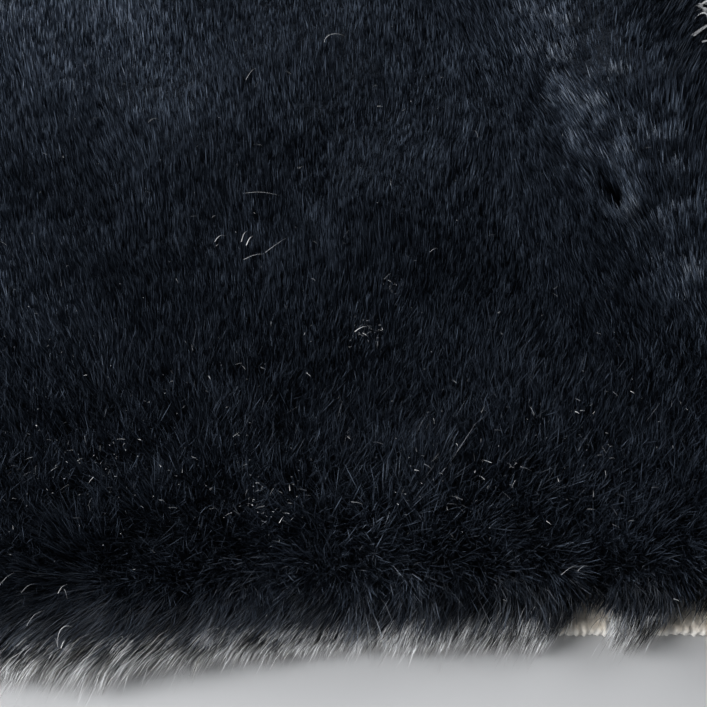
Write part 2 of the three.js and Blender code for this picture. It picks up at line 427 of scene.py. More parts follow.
def dent(x, y):
    """How deep in the dark dent a point is, 1 in its middle and 0 from an ellipse around it on,
    and the way out of it across its length, signed."""
    turn = math.radians(DENT_TURN)
    across = (x - DENT_X) * math.cos(turn) + (y - DENT_Y) * math.sin(turn)
    along = (y - DENT_Y) * math.cos(turn) - (x - DENT_X) * math.sin(turn)
    deep = hump(np.hypot(across / DENT_HALF_WIDTH, along / DENT_HALF_LENGTH))
    return deep, np.sign(across)


def past_crest(x, y):
    """How far to the right of the right wave's crest a place is."""
    return x - CREST_X + CREST_SLOPE * y


def along_crest(y):
    """1 at the middle of the smoothed part of that crest, falling to 0 at its ends."""
    return hump((y - SHEEN_Y) / SHEEN_HALF_LENGTH)


def sheen(x, y):
    """1 along that crest, where the hand has smoothed the pile flat, falling to 0 around it."""
    return hump(past_crest(x, y) / SHEEN_HALF_WIDTH) * along_crest(y)


# Meshes


def new_mesh(name, points, faces, smooth=True):
    """A mesh object from an array of points and an array of faces with equal corner counts."""
    corners = faces.shape[1]
    mesh = bpy.data.meshes.new(name)
    mesh.vertices.add(len(points))
    mesh.vertices.foreach_set("co", np.ascontiguousarray(points, np.float32).ravel())
    mesh.loops.add(faces.size)
    mesh.loops.foreach_set("vertex_index", np.ascontiguousarray(faces, np.int32).ravel())
    mesh.polygons.add(len(faces))
    starts = np.arange(0, faces.size, corners, dtype=np.int32)
    mesh.polygons.foreach_set("loop_start", starts)
    mesh.polygons.foreach_set("use_smooth", np.full(len(faces), smooth))
    mesh.update(calc_edges=True)
    piece = bpy.data.objects.new(name, mesh)
    bpy.context.scene.collection.objects.link(piece)
    return piece


def add_uv(piece, faces, vertex_uv):
    """Gives the mesh a map named OFBake, with each corner at its vertex's place on it."""
    layer = piece.data.uv_layers.new(name="OFBake")
    layer.uv.foreach_set("vector", np.ascontiguousarray(vertex_uv[faces], np.float32).ravel())


def grid_faces(columns, rows, start=0, flip=False):
    """The quads of a grid of points that runs along its columns first."""
    first = np.arange(columns - 1)[None, :] + columns * np.arange(rows - 1)[:, None] + start
    quads = np.stack([first, first + 1, first + columns + 1, first + columns], -1)
    quads = quads.reshape(-1, 4)
    return quads[:, ::-1] if flip else quads


def ring_faces(around, across, start=0):
    """The quads of a closed tube: points run across its section first, then around."""
    i = np.arange(around)[:, None] * across
    j = np.arange(across)[None, :]
    after_i = (i + across) % (around * across)
    after_j = (j + 1) % across
    quads = np.stack([i + j, after_i + j, after_i + after_j, i + after_j], -1)
    return quads.reshape(-1, 4) + start


def slab(inset, spacing, bottom, top):
    """A closed slab under the rug's outline moved in by the inset: two grids of points, one at
    the bottom's height and one at the top's, joined by quads along their outer points."""
    half_x, half_y = RUG_LENGTH / 2 - inset, RUG_DEPTH / 2 - inset
    columns = int(round(2 * half_x / spacing)) + 1
    rows = int(round(2 * half_y / spacing)) + 1
    flat_x, flat_y = np.meshgrid(
        np.linspace(-half_x, half_x, columns), np.linspace(-half_y, half_y, rows)
    )
    x, y = round_corners(flat_x, flat_y)
    distance = rim_distance(x, y)[0]
    y = y - bulge(x, y)
    layers = [
        np.stack([x, y, level(x, y, distance - inset)], -1).reshape(-1, 3)
        for level in (bottom, top)
    ]
    count = columns * rows
    index = np.arange(count).reshape(rows, columns)
    rim = np.concatenate([index[0, :-1], index[:-1, -1], index[-1, :0:-1], index[:0:-1, 0]])
    after = np.roll(rim, -1)
    walls = np.stack([rim, after, after + count, rim + count], -1)
    faces = [
        grid_faces(columns, rows, flip=True),
        grid_faces(columns, rows, start=count),
        walls,
    ]
    return np.concatenate(layers), np.concatenate(faces)


# Materials


def linear(color):
    """An sRGB hex colour as the linear colour that the shaders want."""
    parts = [int(color[i : i + 2], 16) / 255 for i in (1, 3, 5)]
    lit = [p / 12.92 if p <= 0.04045 else ((p + 0.055) / 1.055) ** 2.4 for p in parts]
    return (*lit, 1.0)


def add_node(tree, kind, inputs=(), **settings):
    """Adds a node, sets its properties and fills or links its inputs by name or number."""
    node = tree.nodes.new(kind)
    for key, value in settings.items():
        setattr(node, key, value)
    for key, value in dict(inputs).items():
        if isinstance(value, bpy.types.NodeSocket):
            tree.links.new(value, node.inputs[key])
        else:
            node.inputs[key].default_value = value
    return node


def ramp(tree, factor, stops):
    """A colour ramp over the stops, each a position and a hex colour."""
    node = add_node(tree, "ShaderNodeValToRGB", {"Fac": factor})
    elements = node.color_ramp.elements
    elements.remove(elements[1])
    elements[0].position = stops[0][0]
    elements[0].color = linear(stops[0][1])
    for position, color in stops[1:]:
        elements.new(position).color = linear(color)
    return node.outputs["Color"]


def blend(tree, factor, first, second, kind="MIX"):
    """Two colours mixed by the factor, or joined in another of the mix node's ways."""
    inputs = {"Factor": factor, 6: first, 7: second}
    node = add_node(tree, "ShaderNodeMix", inputs, data_type="RGBA", blend_type=kind)
    return node.outputs[2]


def cloud(tree, place, size, detail, roughness=0.5):
    """Soft noise about places, with lumps of the given size."""
    inputs = {"Vector": place, "Scale": 1 / size, "Detail": detail, "Roughness": roughness}
    return add_node(tree, "ShaderNodeTexNoise", inputs).outputs["Fac"]


def bumps(tree, height, strength, distance):
    """The surface's normal, roughened by a height."""
    inputs = {"Height": height, "Strength": strength, "Distance": distance}
    return add_node(tree, "ShaderNodeBump", inputs).outputs["Normal"]


def ribbon_place(tree):
    """The place on a ribbon's map: its tone across the map, and the way along the ribbon."""
    place = add_node(tree, "ShaderNodeUVMap", uv_map="OFBake").outputs["UV"]
    parts = add_node(tree, "ShaderNodeSeparateXYZ", {"Vector": place}).outputs
    return parts["X"], parts["Y"]


def new_material(name):
    """An empty material with its output node; returns the material and its tree."""
    material = bpy.data.materials.new(name)
    material.use_nodes = True
    material.node_tree.nodes.clear()
    return material, material.node_tree


def finish_material(tree, inputs):
    """Adds the one surface shader, with its inputs, and the output."""
    shader = add_node(tree, "ShaderNodeBsdfPrincipled", inputs)
    add_node(tree, "ShaderNodeOutputMaterial", {"Surface": shader.outputs["BSDF"]})


def knitted_cotton(color, stitch):
    """Undyed knitted ground cloth. The knit gives soft ribs of loops, a stitch apart, matte and
    a little fuzzy, with painted shade darkening the hollows between the loops. Its upper side
    is drawn tan with painted shade from the pile above it, which fades down its edge."""
    material, tree = new_material("knitted_undyed_cotton")
    place = add_node(tree, "ShaderNodeTexCoord").outputs["Object"]
    fuzz = cloud(tree, place, 0.5 * stitch, 5, 0.7)
    blotch = cloud(tree, place, 8 * stitch, 3)
    loops = add_node(
        tree,
        "ShaderNodeTexVoronoi",
        {"Vector": place, "Scale": 1 / stitch, "Randomness": 0.55},
    )
    hollows = ramp(
        tree, loops.outputs["Distance"], ((0.15, color), (0.6, "#f8f5ef"), (0.85, "#e2dcd1"))
    )
    blotches = ramp(tree, blotch, ((0.35, "#faf8f4"), (0.7, "#ffffff")))
    parts = add_node(tree, "ShaderNodeSeparateXYZ", {"Vector": place})
    upper = add_node(
        tree,
        "ShaderNodeMapRange",
        {"Value": parts.outputs["Z"], "From Min": 1.8 * MM, "From Max": 3.1 * MM},
    )
    painted_upper_shade = ramp(tree, upper.outputs["Result"], ((0.0, "#ffffff"), (1.0, "#fff8f0")))
    mixed = blend(tree, 1.0, hollows, blotches, "MULTIPLY")
    mixed = blend(tree, 1.0, mixed, painted_upper_shade, "MULTIPLY")
    height = add_node(
        tree, "ShaderNodeMath", {0: fuzz, 1: loops.outputs["Distance"]}, operation="SUBTRACT"
    )
    finish_material(
        tree,
        {
            "Base Color": mixed,
            "Roughness": 0.95,
            "Sheen Weight": 0.6,
            "Normal": bumps(tree, height.outputs["Value"], 0.5, 0.3 * MM),
        },
    )
    return material


def dense_underfur(color, far_painted_shade_color):
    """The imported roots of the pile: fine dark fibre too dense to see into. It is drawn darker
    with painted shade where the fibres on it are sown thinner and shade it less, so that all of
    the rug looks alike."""
    material, tree = new_material("dyed_acrylic_underfur")
    place = add_node(tree, "ShaderNodeTexCoord").outputs["Object"]
    grain = cloud(tree, place, 2.4 * MM, 6, 0.75)
    near = ramp(tree, grain, ((0.3, "#1d222a"), (0.75, color)))
    far = ramp(tree, grain, ((0.3, "#050608"), (0.75, far_painted_shade_color)))
    share = add_node(tree, "ShaderNodeAttribute", attribute_name="shown").outputs["Fac"]
    finish_material(
        tree,
        {
            "Base Color": blend(tree, share, far, near),
            "Roughness": 0.9,
            "Specular IOR Level": 0.1,
            "Normal": bumps(tree, grain, 1.0, 1 * MM),
        },
    )
    return material


def acrylic_fibre(name, color, lit_tip_color, lit_tip_share, shaft):
    """Dyed acrylic fibre, drawn smooth: near-black with a cool cast and a soft gloss. Across
    its map runs the fibre's tone, random since a few fibres in a hundred are pale, with the painted
    light and shade of its place, and along it the way from root to tip, with painted shade on the
    root and on the shaft up to two thirds of it. At the rim the single tips are drawn pale with
    painted light, where they would let light through, some more than others, a greyish brown to a
    pale grey, and are darker again at their ends, where they stand before the pale floor."""
    material, tree = new_material(name)
    tone, way = ribbon_place(tree)
    own = ramp(
        tree,
        tone,
        ((0.0, "#2a323e"), (0.5, color), (0.88, "#586475"), (0.97, "#7a8698"), (1.0, "#a6b0bd")),
    )
    along = ramp(tree, way, ((0.0, "#a0a0a0"), (0.6, shaft), (0.9, "#ffffff")))
    mixed = blend(tree, 1.0, own, along, "MULTIPLY")
    thin = add_node(
        tree,
        "ShaderNodeMapRange",
        {"Value": way, "From Min": 0.45, "From Max": 0.75, "To Max": lit_tip_share},
    )
    clear = ramp(
        tree, tone, ((0.0, "#191919"), (0.1, "#4b4a45"), (0.22, "#aeada7"), (0.38, lit_tip_color))
    )
    ends = ramp(tree, way, ((0.8, "#ffffff"), (0.96, "#707070")))
    clear = blend(tree, 1.0, clear, ends, "MULTIPLY")
    tipped = blend(tree, thin.outputs["Result"], mixed, clear)
    finish_material(
        tree,
        {
            "Base Color": tipped,
            "Roughness": 0.42,
            "IOR": 1.52,
            "Specular IOR Level": 0.5,
        },
    )
    return material


def pale_lint_and_painted_glints(color):
    """Loose lint: short, pale, matte ends of fibre and dust, and flecks that are in part
    painted glints.
    """
    material, tree = new_material("undyed_cotton_lint_and_painted_glints")
    tone = ramp(tree, ribbon_place(tree)[0], ((0.0, "#5b5f66"), (1.0, color)))
    finish_material(tree, {"Base Color": tone, "Roughness": 0.7})
    return material


def painted_floor(color):
    """A plain floor with an even, matte, pale paint."""
    material, tree = new_material("matte_floor_paint")
    place = add_node(tree, "ShaderNodeTexCoord").outputs["Object"]
    tone = ramp(tree, cloud(tree, place, 1 / 3, 2), ((0.3, color), (0.7, "#d0d1d3")))
    finish_material(tree, {"Base Color": tone, "Roughness": 0.75, "Specular IOR Level": 0.3})
    return material


# Fibres


def fibre_path(root, lean_x, lean_y, length, stations):
    """Points along each fibre. Its tip leans from upright by the length of the lean vector, in
    radians, and its root by a quarter of that. The lean grows evenly along it, so the way out
    is the integral of the lean's sine and the way up that of its cosine. Both are then sheared
    with the cloth's slope under the root."""
    tip = np.maximum(np.hypot(lean_x, lean_y), 0.01)
    way_x, way_y = (lean_x / tip)[:, None], (lean_y / tip)[:, None]
    start, bend = 0.25 * tip[:, None], 0.75 * tip[:, None]
    lean = start + bend * stations[None, :]
    out = length[:, None] * (np.cos(start) - np.cos(lean)) / bend
    up = length[:, None] * (np.sin(lean) - np.sin(start)) / bend
    slope_x, slope_y = slope(root[:, 0], root[:, 1])
    slope_x, slope_y = slope_x[:, None], slope_y[:, None]
    return np.stack(
        [
            root[:, 0, None] + out * way_x - up * slope_x,
            root[:, 1, None] + out * way_y - up * slope_y,
            root[:, 2, None] + up + out * (way_x * slope_x + way_y * slope_y),
        ],
        -1,
    )


def ribbons(paths, widths, roll, tones, stations):
    """Flat ribbons along the paths. Each is square to its path by the cross product of its
    chord and a given vector, tapers by the root of what is left of its length, and ends in one
    point. Returns points, triangles and the place of each point on the map."""
    count, steps = paths.shape[:2]
    side = np.cross(paths[:, -1] - paths[:, 0], roll)
    side /= np.linalg.norm(side, axis=1, keepdims=True) + 1e-12
    share = (stations - stations[0]) / (stations[-1] - stations[0])
    left = np.sqrt(1 - share[:-1])[None, :, None]
    half = 0.5 * widths[:, None, None] * left * side[:, None, :]
    body = paths[:, :-1]
    pairs = np.stack([body - half, body + half], 2).reshape(count, 2 * (steps - 1), 3)
    points = np.concatenate([pairs, paths[:, -1:]], 1)
    template = []
    for s in range(steps - 2):
        template += [(2 * s, 2 * s + 1, 2 * s + 3), (2 * s, 2 * s + 3, 2 * s + 2)]
    template.append((2 * steps - 4, 2 * steps - 3, 2 * steps - 2))
    each = points.shape[1]
    faces = np.array(template)[None] + each * np.arange(count)[:, None, None]
    column = 0.003
    sides = np.concatenate([np.tile([-column, column], steps - 1), [0.0]])
    u = column + (1 - 2 * column) * tones[:, None] + sides[None, :]
    v = np.concatenate([np.repeat(share[:-1], 2), share[-1:]])
    uv = np.stack([u, np.broadcast_to(v, u.shape)], -1)
    return points.reshape(-1, 3), faces.reshape(-1, 3), uv.reshape(-1, 2)


def sow(rng, density_of, most):
    """Roots of fibres, as places on the plain rectangle: one random point in each cell of a
    fine grid, kept by the chance that the wanted density gives it."""
    cell = MM / math.sqrt(most)
    half_x, half_y = RUG_LENGTH / 2 - ROOT_INSET, RUG_DEPTH / 2 - ROOT_INSET
    columns, rows = int(2 * half_x / cell), int(2 * half_y / cell)
    x, y = np.meshgrid(np.arange(columns), np.arange(rows))
    x = (x.ravel() + rng.random(columns * rows)) * (2 * half_x / columns) - half_x
    y = (y.ravel() + rng.random(columns * rows)) * (2 * half_y / rows) - half_y
    keep = rng.random(len(x)) * most < density_of(x, y)
    return x[keep], y[keep]


def clump(rng, x, y, size, seed):
    """The middle of the clump that each fibre belongs to, and four random numbers of that
    clump. Clumps are the cells of a square lattice, with the fibre's place shaken a little
    first so that the cells' sides don't show."""
    shake = CLUMP_STRAY * size
    column = np.floor((x + shake * rng.standard_normal(len(x))) / size).astype(int)
    row = np.floor((y + shake * rng.standard_normal(len(y))) / size).astype(int)
    dice = np.random.default_rng(seed).standard_normal((6, 512, 512))[:, column % 512, row % 512]
    middle_x = (column + 0.5 + CLUMP_OFFSET * dice[0]) * size
    middle_y = (row + 0.5 + CLUMP_OFFSET * dice[1]) * size
    return middle_x, middle_y, dice[2:]


def lay(x, y):
    """The lean vector of the fibres' tips, in radians: forward and left by the tables, to the
    left too where the hand has smoothed the pile, and a little every way besides."""
    depth = y + RUG_DEPTH / 2
    left = hump((x - LEFT_X) / LEFT_HALF_WIDTH) * hump((y - LEFT_Y) / LEFT_HALF_LENGTH)
    lean_x = -np.interp(x, LEFT_PLACES, LEFT_LEAN) * hump(depth / LEFT_DEPTH)
    lean_x -= SHEEN_LEAN * sheen(x, y) + LEFT_PATCH_LEAN * left
    lean_y = -np.interp(depth, LEAN_DEPTHS, LEAN_FORWARD)
    tousled = np.interp(depth, TOUSLE_DEPTHS, TOUSLE)
    lean_x += wander(x, y, WANDER_X) + tousled * noise(x, y, WHORL_SIZE, WHORL_SEED_X)
    lean_y += wander(x, y, WANDER_Y) + tousled * noise(x, y, WHORL_SIZE, WHORL_SEED_Y)
    return np.radians(lean_x), np.radians(lean_y)


def tone_and_painted_light(x, y):
    """How light or dark the fibres rooted at a place are drawn: the sum of the tables' painted
    shade and sheen, the patches' painted light and shade, a wandering random tone, and painted
    shade in the dent."""
    tone = DENT_PAINTED_SHADE * dent(x, y - DENT_SHADE)[0]
    tone += np.interp(y + RUG_DEPTH / 2, PAINTED_SHADE_DEPTHS, PAINTED_SHADE_SHIFTS)
    # Painted sheen along the crest of the right wave, and painted shade past it.
    tone += np.interp(past_crest(x, y), PAST_CREST, PAINTED_SHEEN_AND_SHADE) * along_crest(y)
    for patch_x, patch_y, radius, shift in PAINTED_LIGHT_PATCHES:
        away = np.hypot(x - patch_x * MM, y - patch_y * MM)
        tone += shift * hump(away / (radius * MM))
    return tone + wander(x, y, TONE_WANDER)


def fur_paths(rng, x, y, stations, length):
    """The paths of fibres rooted at places x, y of the plain rectangle, and a number for each
    one's tone, which is shared in part by its clump and carries the painted light and shade of its
    place."""
    x, y = round_corners(x, y)
    distance, out_x, out_y = rim_distance(x, y)
    cut = bare(x) * hump((y + RUG_DEPTH / 2) / BARE_FADE)
    y = y - bulge(x, y)
    depth = y + RUG_DEPTH / 2
    count = len(x)
    near_rim = hump(distance / RIM_PUSH_BAND)
    overhang = np.interp(x, OVERHANG_PLACES, OVERHANG_LENGTHS)
    rim_length = np.where(y < 0, overhang, OTHER_RIM_LENGTH)
    push = np.radians(RIM_PUSH + RIM_PUSH_ELSEWHERE * np.clip(1 + out_y, 0, 1)) * near_rim
    push_x, push_y = push * out_x, push * out_y
    deep, aside = dent(x, y)
    push_x += np.radians(DENT_PUSH) * deep * aside

    def bent(px, py, shake, lengths):
        """Paths from roots at px, py, pushed at the rim and in the dent like the fibres' own."""
        lean_x, lean_y = lay(px, py)
        lean_x = lean_x + push_x + np.radians(shake[0])
        lean_y = lean_y + push_y + np.radians(shake[1])
        root = np.stack([px, py, lift(px, py) + CLOTH_THICKNESS], -1)
        return fibre_path(root, lean_x, lean_y, lengths, stations)

    high = 1 + lumps(x, y) / PILE_HEIGHT
    lengths = length * high * (1 - BARE_SHORTER * cut) * (1 - DENT_SHORTER * deep)
    lengths = lengths * (1 + (rim_length - 1) * near_rim)
    lengths = lengths * np.interp(depth, (0, UPRIGHT_FROM), (1, UPRIGHT_LENGTH))
    own_tone = (OWN_TONE + RIM_TONE * near_rim) * rng.standard_normal(count)
    chaos = 1 + np.interp(depth, CHAOS_DEPTHS, CHAOS_SHARES)
    shake = SHAKE * chaos * rng.standard_normal((2, count))
    paths = bent(x, y, shake, lengths * (1 + LENGTH_SPREAD * rng.standard_normal(count)))
    for size, seed, pull, rim_pull, sway, varied, weight in CLUMPS:
        middle_x, middle_y, dice = clump(rng, x, y, size, seed)
        drawn = lengths * (1 + varied * dice[2])
        shared = bent(middle_x, middle_y, sway * chaos * dice[:2], drawn)
        share = ((pull + rim_pull * near_rim) / chaos)[:, None, None]
        share = share * (stations**PULL_POWER)[None, :, None]
        paths += share * (shared - paths)
        # Along the smoothed crest the larger clumps differ more in tone: a painted mottled sheen.
        contrast = 1 + PAINTED_SHEEN_CONTRAST * (size - SHEEN_CLUMP) * sheen(x, y)
        own_tone += weight * contrast * dice[3]
    soft = BACK_SOFTNESS * np.clip(depth / SHOWN_DEPTH, 0, 1) * (1 - sheen(x, y))
    tone = tone_and_painted_light(x, y) + own_tone * (1 - soft)
    above_floor = (FLOOR_GAP + FLOOR_GAP_SPREAD * rng.random(count))[:, None] * MM
    paths[:, :, 2] = np.maximum(paths[:, :, 2], above_floor)
    return paths, 1 / (1 + np.exp(-TONE_STEEPNESS * tone))


def crest(x, y, length):
    """The height of the fibres' tips over the floor: that of the cloth, the upright length and
    the lumps together, times a share that falls by the table about the rim."""
    share = np.interp(rim_distance(x, y + bulge(x, y))[0], CREST_DEPTHS, CREST_SHARES)
    up = CLOTH_THICKNESS + UPRIGHT_LENGTH * length + lumps(x, y)
    return lift(x, y) + share * up


# Settings that a user would change


def color_setting(name, default, description):
    """A colour, given as text."""
    description = f"{description}, as an sRGB hex colour"
    return bpy.props.StringProperty(name=name, description=description, default=default)


def length_setting(name, default, smallest, description):
    """A length in metres, shown in the scene's unit."""
    return bpy.props.FloatProperty(
        name=name,
        description=description,
        default=default,
        min=smallest,
        unit="LENGTH",
        subtype="DISTANCE",
    )


class ClothSettings(bpy.types.PropertyGroup):
    color: color_setting("Cloth colour", "#fbf9f4", "Undyed knit")
    stitch: length_setting("Stitch pitch", 1.6 * MM, 0.5 * MM, "From one rib to the next")


class PileSettings(bpy.types.PropertyGroup):
    color: color_setting("Fibre colour", "#3e4755", "Dyed fibre")
    # Painted light: the thin rim tips are drawn in this pale colour where they would let light
    # through.
    lit_tip_color: color_setting("Rim tip colour", "#f7f9fc", "Thin tips at the rim")
    underfur_color: color_setting("Under-fur colour", "#3f4650", "Packed roots")
    # The far under-fur's darker colour is painted shade, in place of the shade that the thinner
    # fibres there give less of.
    far_underfur_painted_shade: color_setting(
        "Far under-fur colour", "#1d2229", "Packed roots beyond the photographed part"
    )
    length: length_setting("Fibre length", 19 * MM, 5 * MM, "From root to tip")
    shown_width: length_setting(
        "Shown width", 0.24 * MM, 0.02 * MM, "A fibre's, at its root on the photographed part"
    )
    far_width: length_setting("Far width", 0.9 * MM, 0.02 * MM, "The same on the rest")
    shown_density: bpy.props.FloatProperty(
        name="Shown density",
        description="Fibres on each square millimetre of the photographed part",
        default=11.4,
        min=0.1,
    )
    far_density: bpy.props.FloatProperty(
        name="Far density",
        description="Fibres on each square millimetre of the rest",
        default=0.8,
        min=0.1,
    )


class LintSettings(bpy.types.PropertyGroup):
    color: color_setting("Lint colour", "#e6e8ea", "Pale lint")
    flecks: bpy.props.IntProperty(
        name="Flecks", description="Number of small flecks on the rug", default=2400, min=0
    )


class StageSettings(bpy.types.PropertyGroup):
    floor_color: color_setting("Floor colour", "#c8c9cb", "Matte floor")
    elevation: bpy.props.FloatProperty(
        name="Camera elevation",
        description="Angle of the view above the horizon",
        default=math.radians(48),
        subtype="ANGLE",
    )
    distance: length_setting(
        "Camera distance", 378 * MM, 100 * MM, "From the camera to the middle of what it sees"
    )
    lens: bpy.props.FloatProperty(
        name="Lens", description="Focal length in millimetres", default=85.0
    )


# Operators


def dress(piece, material, node):
    """Gives a piece its finish, ties it to the rug's root body and hides the node that it
    stands for.
    """
    piece.data.materials.append(material)
    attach(piece, "root")
    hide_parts(node)


def add_ribbons(name, material, paths, widths, roll, tones, stations):
    """Makes a piece of ribbons along the paths, with its map and its finish."""
    points, faces, uv = ribbons(paths, widths, roll, tones, stations)
    piece = new_mesh(name, points, faces)
    add_uv(piece, faces, uv)
    dress(piece, material, "pile")


class RUG_OT_ground_cloth(bpy.types.Operator):
    """Makes the knitted ground cloth: a slab, with a ribbed and rounded edge around it"""

    bl_idname = "rug.ground_cloth"
    bl_label = "Ground Cloth"

    def execute(self, context):
        settings = context.scene.rug_cloth
        border = 7 * MM
        points, faces = slab(
            border - 1 * MM,
            10 * MM,
            lambda x, y, d: lift(x, y),
            lambda x, y, d: lift(x, y) + CLOTH_THICKNESS,
        )
        edge_points, edge_faces = self.edge(border, settings.stitch, len(points))
        piece = new_mesh(
            "ground_cloth",
            np.concatenate([points, edge_points]),
            np.concatenate([faces, edge_faces]),
        )
        dress(piece, knitted_cotton(settings.color, settings.stitch), "backing")
        return {"FINISHED"}

    def edge(self, border, stitch, start):
        """The cloth's edge: a flat section with a rounded outer side, carried around the
        outline. Slanting ribs about a stitch apart, drifting a little, swell it by the cosine of
        the way around less a share of the way up the section. Rows of loops cross them by the
        cosine of the way in, fine noise roughens it, and a needle hole dents the lower edge
        between each two ribs. The steps around are finer along the photographed stretch."""
        half_x, half_y = RUG_LENGTH / 2, RUG_DEPTH / 2
        corners = np.cumsum([0, RUG_LENGTH, RUG_DEPTH, RUG_LENGTH, RUG_DEPTH])
        near = half_x + np.array([-SHOWN_FRONT_HALF, SHOWN_FRONT_HALF])
        near = np.round(near / stitch) * stitch
        coarse, fine = stitch / 2, stitch / 8
        way = np.concatenate(
            [
                np.arange(0, near[0] - coarse / 2, coarse),
                np.arange(near[0], near[1] - fine / 2, fine),
                np.arange(near[1], corners[-1] - coarse, coarse),
            ]
        )
        flat_x = np.interp(way, corners, [-half_x, half_x, half_x, -half_x, -half_x])
        flat_y = np.interp(way, corners, [-half_y, -half_y, half_y, half_y, -half_y])
        x, y = round_corners(flat_x, flat_y)
        out_x, out_y = rim_distance(x, y)[1:]
        y = y - bulge(x, y)
        turn = np.linspace(-np.pi / 2, np.pi / 2, 8)
        radius = CLOTH_THICKNESS / 2
        flat_top = np.array([-2.3, -3.2, -4.1, -5.0, -5.9]) * MM
        section_out = np.concatenate(
            [[-border], radius * (np.cos(turn) - 1), flat_top, [-border]]
        )
        section_up = np.concatenate(
            [[0], radius * (1 + np.sin(turn)), np.full(len(flat_top) + 1, CLOTH_THICKNESS)]
        )
        swell = np.concatenate([[0], 0.5 + 0.5 * np.cos(turn), np.full(len(flat_top), 0.8), [0]])
        drift = RIB_DRIFT * noise(way, 0 * way, RIB_DRIFT_STITCHES * stitch, DRIFT_SEED)
        climb = np.concatenate(
            [[0], radius * (turn + np.pi / 2), (np.pi - 1) * radius - flat_top, [0]]
        )
        rib = way[:, None] - RIB_SLANT * climb[None, :]
        rib = np.cos(2 * np.pi * (rib / stitch + drift[:, None]))
        row = np.cos(2 * np.pi * section_out / ROW_PITCH)[None, :]
        across = (section_out + section_up)[None, :]
        rough = noise(way[:, None], across, ROUGH_SIZE, ROUGH_SEED)
        bulging = RIB_SWELL * rib + ROW_SWELL * rib * row + ROUGH_SWELL * rough
        bulging *= swell[None, :]
        facing = np.clip((section_out + 2 * radius) / radius, 0, 1)[None, :]
        hole = hump(((way / stitch + drift)[:, None] % 1 - 0.5) / HOLE_HALF_WIDTH)
        low = hump(section_up[None, :] / HOLE_HEIGHT)
        reach = section_out[None, :] + (bulging - HOLE_DEPTH * hole * low) * facing
        edge_x = x[:, None] + out_x[:, None] * reach
        edge_y = y[:, None] + out_y[:, None] * reach
        up = section_up[None, :] + bulging * np.sign(section_up[None, :] - radius)
        edge_z = np.maximum(up, 0) + lift(edge_x, edge_y)
        points = np.stack([edge_x, edge_y, edge_z], -1).reshape(-1, 3)
        return points, ring_faces(len(way), len(section_up), start)


class RUG_OT_underfur(bpy.types.Operator):
    """Makes the dense, dark under-fur that fills the pile between the fibres"""

    bl_idname = "rug.underfur"
    bl_label = "Under-Fur"

    def execute(self, context):
        settings = context.scene.rug_pile

        def bottom(x, y, inset):
            return lift(x, y) + CLOTH_THICKNESS + UNDERFUR_GAP

        def top(x, y, inset):
            """Rounded down towards the rim by a quarter of a circle."""
            left = 1 - np.clip(inset / PILE_CROWN, 0, 1)
            crown = UNDERFUR_RIM_SHARE + (1 - UNDERFUR_RIM_SHARE) * np.sqrt(1 - left**2)
            share = np.interp(y + RUG_DEPTH / 2, UNDERFUR_DEPTHS, UNDERFUR_SHARES)
            mound = lumps(x, y) + wander(x, y, UNDERFUR_WANDER)
            height = share * (PILE_HEIGHT + mound) * crown
            away = np.hypot(x - DENT_X, y - DENT_Y)
            height *= 1 - UNDERFUR_DENT * hump(away / UNDERFUR_DENT_RADIUS)
            return bottom(x, y, inset) + height

        points, faces = slab(ROOT_INSET, 5 * MM, bottom, top)
        front = hump((points[:, 1] + RUG_DEPTH / 2 + FRONT_REACH) / UNDERFUR_BARE_FADE)
        points[:, 1] += BARE_UNDERFUR_DEPTH * bare(points[:, 0]) * front
        piece = new_mesh("underfur", points, faces)
        layer = piece.data.attributes.new("shown", "FLOAT", "POINT")
        layer.data.foreach_set("value", shown(points[:, 0], points[:, 1]).astype(np.float32))
        material = dense_underfur(settings.underfur_color, settings.far_underfur_painted_shade)
        dress(piece, material, "pile")
        return {"FINISHED"}


